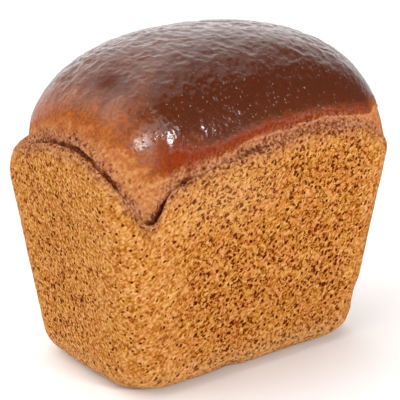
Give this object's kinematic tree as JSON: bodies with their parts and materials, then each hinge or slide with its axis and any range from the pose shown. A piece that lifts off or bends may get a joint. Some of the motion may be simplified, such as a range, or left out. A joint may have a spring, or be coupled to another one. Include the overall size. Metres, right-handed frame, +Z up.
{
  "type": "tin loaf",
  "caption": "Uncut tin loaf with flared, pitted walls, rounded corners and a glossy dark domed top crust that springs out of a seam.",
  "frame": {"origin": "middle of the loaf's length and width, on the surface that its flat base rests on", "axes": "+X along the long sides, +Y across the loaf, +Z up through the domed crust"},
  "size_m": [0.1662, 0.1048, 0.1552],
  "materials": {
    "crust": "matte wheat-brown baked crust full of small dark pores on the walls, dark brown glossy glazed crust on the dome"
  },
  "bodies": {
    "root": {"loaf": "crust"}
  },
  "joints": []
}
